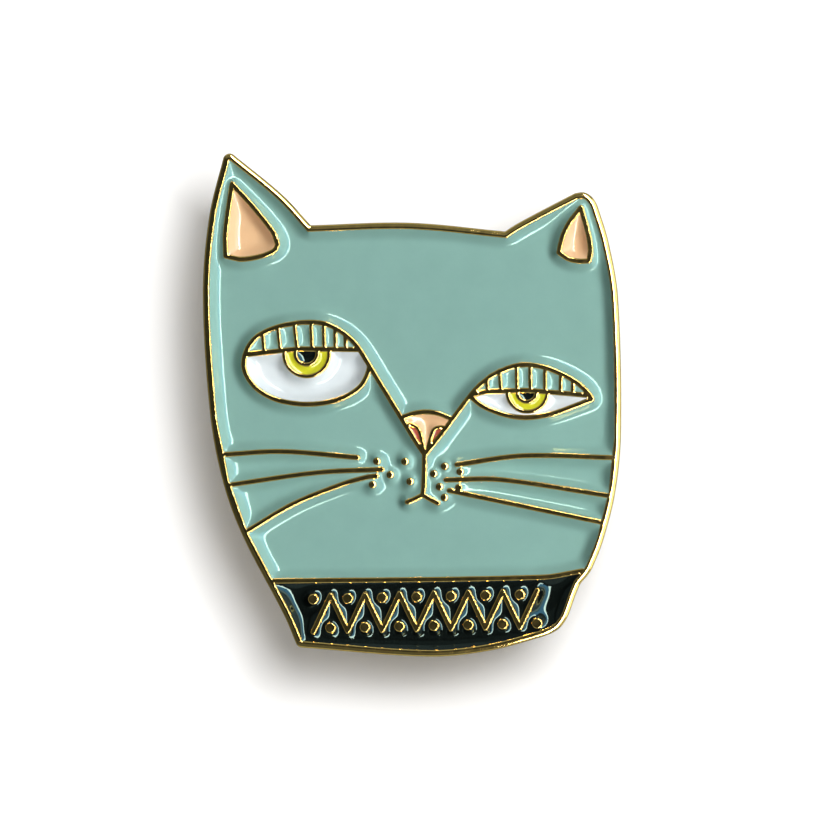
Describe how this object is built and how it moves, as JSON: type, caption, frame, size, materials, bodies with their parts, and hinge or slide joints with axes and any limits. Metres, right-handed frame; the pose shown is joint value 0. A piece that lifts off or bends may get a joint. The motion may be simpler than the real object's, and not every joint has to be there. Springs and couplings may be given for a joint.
{
  "type": "enamel pin",
  "caption": "Flat die-struck metal pin shaped as a cat's head with recessed colour enamel, held on cloth by pointed posts and spring butterfly clutches.",
  "frame": {"origin": "middle of the flat back, between the two posts", "axes": "+Z out of the enamelled face, +Y up towards the ears, +X to the wearer's left (the viewer's right)"},
  "size_m": [0.0264, 0.0318, 0.0095],
  "materials": {
    "gold_plate": "polished gold plating, worn bright on the edges; sand-blasted on the back",
    "gold_post": "gold plating, satin",
    "solder": "dull tin solder",
    "clutch_metal": "pressed brass, nickel-plated and polished",
    "spring_steel": "drawn wire",
    "enamel_teal": "glossy soft enamel",
    "enamel_peach": "glossy soft enamel",
    "enamel_coral": "glossy soft enamel",
    "enamel_white": "glossy soft enamel",
    "enamel_yellow": "glossy soft enamel",
    "enamel_black": "glossy soft enamel"
  },
  "bodies": {
    "pin": {"base_plate": "gold_plate", "enamel_face": "enamel_teal", "ear_left": "enamel_peach", "ear_right": "enamel_peach", "eye_white_left": "enamel_white", "eye_white_right": "enamel_white", "iris_left": "enamel_yellow", "iris_right": "enamel_yellow", "pupil_left": "enamel_black", "pupil_right": "enamel_black", "nose": "enamel_peach", "nostril_left": "enamel_coral", "nostril_right": "enamel_coral", "collar": "enamel_black", "lid_left_1": "enamel_teal", "lid_left_2": "enamel_teal", "lid_left_3": "enamel_teal", "lid_left_4": "enamel_teal", "lid_left_5": "enamel_teal", "lid_left_6": "enamel_teal", "lid_left_7": "enamel_teal", "lid_left_8": "enamel_teal", "lid_right_1": "enamel_teal", "lid_right_2": "enamel_teal", "lid_right_3": "enamel_teal", "lid_right_4": "enamel_teal", "lid_right_5": "enamel_teal", "lid_right_6": "enamel_teal", "lid_right_7": "enamel_teal", "lid_right_8": "enamel_teal", "post_left": "gold_post", "solder_left": "solder", "post_right": "gold_post", "solder_right": "solder"},
    "clutch_left": {"clutch_disc_left": "clutch_metal", "clutch_cover_left": "clutch_metal", "spring_left": "spring_steel"},
    "wing_left_a": {"wing_left_a": "clutch_metal"},
    "wing_left_b": {"wing_left_b": "clutch_metal"},
    "clutch_right": {"clutch_disc_right": "clutch_metal", "clutch_cover_right": "clutch_metal", "spring_right": "spring_steel"},
    "wing_right_a": {"wing_right_a": "clutch_metal"},
    "wing_right_b": {"wing_right_b": "clutch_metal"}
  },
  "joints": [
    {"name": "clutch_left_slide", "type": "slide", "parent": "pin", "child": "clutch_left", "axis": [0, 0, -1], "range_m": [0, 0.008]},
    {"name": "wing_left_a_squeeze", "type": "hinge", "parent": "clutch_left", "child": "wing_left_a", "pos_m": [-0.0072, 0.0036, -0.0048], "axis": [-1, 0, 0], "range_deg": [0, 10], "stiffness_Nm_per_rad": 0.01, "springref_deg": -5.73},
    {"name": "wing_left_b_squeeze", "type": "hinge", "parent": "clutch_left", "child": "wing_left_b", "pos_m": [-0.0072, -0.0016, -0.0048], "axis": [1, 0, 0], "range_deg": [0, 10], "stiffness_Nm_per_rad": 0.01, "springref_deg": -5.73},
    {"name": "clutch_right_slide", "type": "slide", "parent": "pin", "child": "clutch_right", "axis": [0, 0, -1], "range_m": [0, 0.008]},
    {"name": "wing_right_a_squeeze", "type": "hinge", "parent": "clutch_right", "child": "wing_right_a", "pos_m": [0.0072, 0.0036, -0.0048], "axis": [-1, 0, 0], "range_deg": [0, 10], "stiffness_Nm_per_rad": 0.01, "springref_deg": -5.73},
    {"name": "wing_right_b_squeeze", "type": "hinge", "parent": "clutch_right", "child": "wing_right_b", "pos_m": [0.0072, -0.0016, -0.0048], "axis": [1, 0, 0], "range_deg": [0, 10], "stiffness_Nm_per_rad": 0.01, "springref_deg": -5.73}
  ],
  "couplings": [
    {"joint": "wing_left_b_squeeze", "follows": "wing_left_a_squeeze", "ratio": 1},
    {"joint": "wing_right_b_squeeze", "follows": "wing_right_a_squeeze", "ratio": 1}
  ]
}
